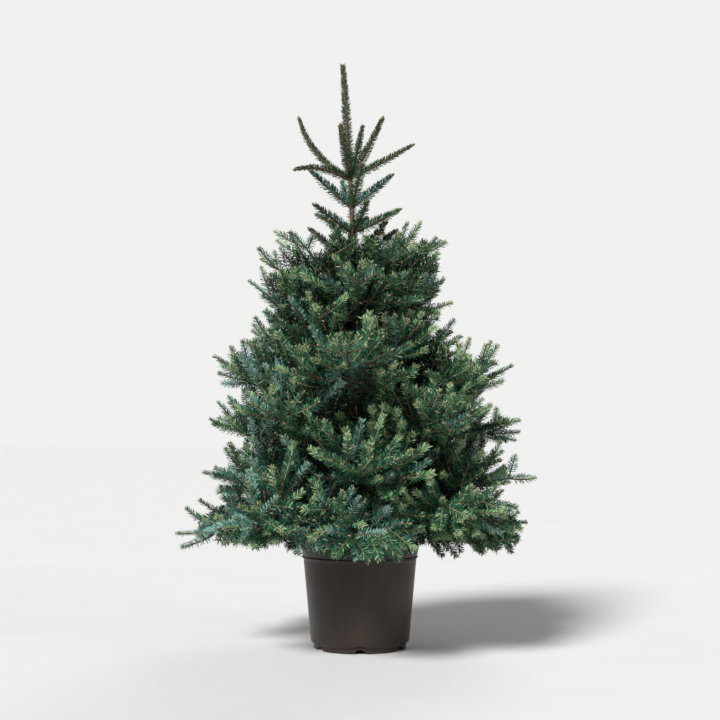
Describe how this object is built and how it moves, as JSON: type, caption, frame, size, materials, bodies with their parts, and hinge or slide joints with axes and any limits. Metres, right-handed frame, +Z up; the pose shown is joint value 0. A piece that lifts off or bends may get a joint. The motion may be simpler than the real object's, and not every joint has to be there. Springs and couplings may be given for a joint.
{
  "type": "potted blue spruce",
  "caption": "Young blue spruce with tiered needled boughs and an open leader, in a tapered nursery pot with a rolled rim.",
  "frame": {"origin": "centre of the pot's flat underside", "axes": "+Z up along the pot's axis, -Y towards the front, +X to the right"},
  "size_m": [0.8357, 0.8194, 1.4],
  "materials": {
    "pot": "semi-matt moulded plastic, brown-black",
    "compost": "rough, crumbly bark compost",
    "bark": "matt, scaly grey-brown bark",
    "needles": "waxy blue-green needles"
  },
  "bodies": {
    "root": {"pot": "pot", "soil": "compost", "trunk": "bark", "tier1_bough1": "bark", "tier1_bough2": "bark", "tier1_bough3": "bark", "tier1_bough4": "bark", "tier1_bough5": "bark", "tier1_bough6": "bark", "tier1_bough7": "bark", "tier1_bough8": "bark", "tier1_needles1": "needles", "tier1_needles2": "needles", "tier1_needles3": "needles", "tier1_needles4": "needles", "tier1_needles5": "needles", "tier1_needles6": "needles", "tier1_needles7": "needles", "tier1_needles8": "needles", "tier2_needles1": "needles", "tier2_needles2": "needles", "tier2_needles3": "needles", "tier2_needles4": "needles", "tier2_needles5": "needles", "tier3_needles1": "needles", "tier3_needles2": "needles", "tier3_needles3": "needles", "tier3_needles4": "needles", "tier3_needles5": "needles", "tier4_needles1": "needles", "tier4_needles2": "needles", "tier4_needles3": "needles", "tier4_needles4": "needles", "tier4_needles5": "needles", "tier5_needles1": "needles", "tier5_needles2": "needles", "tier5_needles3": "needles", "tier5_needles4": "needles", "tier5_needles5": "needles", "tier6_needles1": "needles", "tier6_needles2": "needles", "tier6_needles3": "needles", "tier6_needles4": "needles", "tier6_needles5": "needles", "tier7_needles1": "needles", "tier7_needles2": "needles", "tier7_needles3": "needles", "tier7_needles4": "needles", "tier7_needles5": "needles", "collar_low": "needles", "collar_mid": "needles", "collar_high": "needles", "top_shoot1": "needles", "top_shoot2": "needles", "top_shoot3": "needles", "top_shoot4": "needles", "top_shoot5": "needles", "top_shoot6": "needles", "leader_needles": "needles"}
  },
  "joints": []
}
